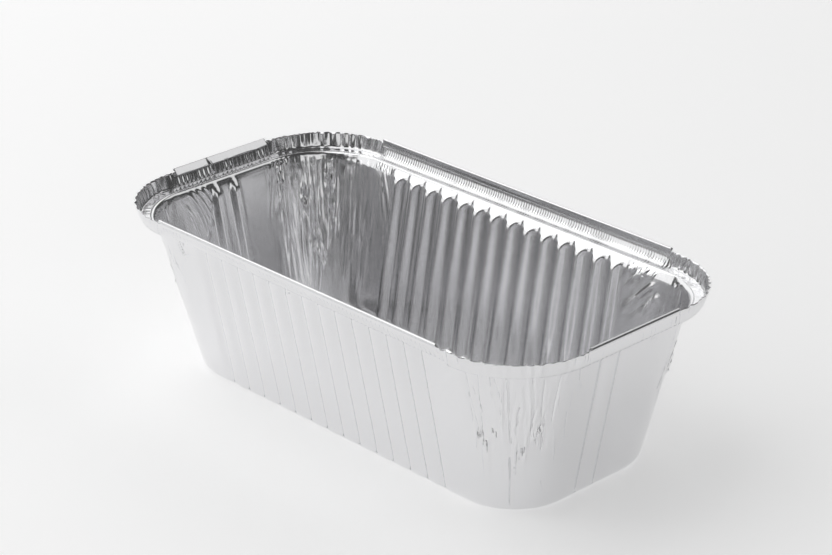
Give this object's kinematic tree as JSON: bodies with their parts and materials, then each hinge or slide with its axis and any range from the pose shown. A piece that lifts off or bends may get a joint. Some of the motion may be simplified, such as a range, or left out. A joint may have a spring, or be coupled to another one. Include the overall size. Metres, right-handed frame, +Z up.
{
  "type": "foil tray",
  "caption": "Deep rectangular loaf tray pressed from thin aluminium foil, with fluted walls, gathered corners and a folded, rolled rim.",
  "frame": {"origin": "middle of the base's underside", "axes": "+X along the tray's length, +Y across it, +Z up"},
  "size_m": [0.22, 0.1136, 0.068],
  "materials": {
    "foil": "bright rolled foil, creased"
  },
  "bodies": {
    "root": {"foil_tray": "foil"}
  },
  "joints": []
}
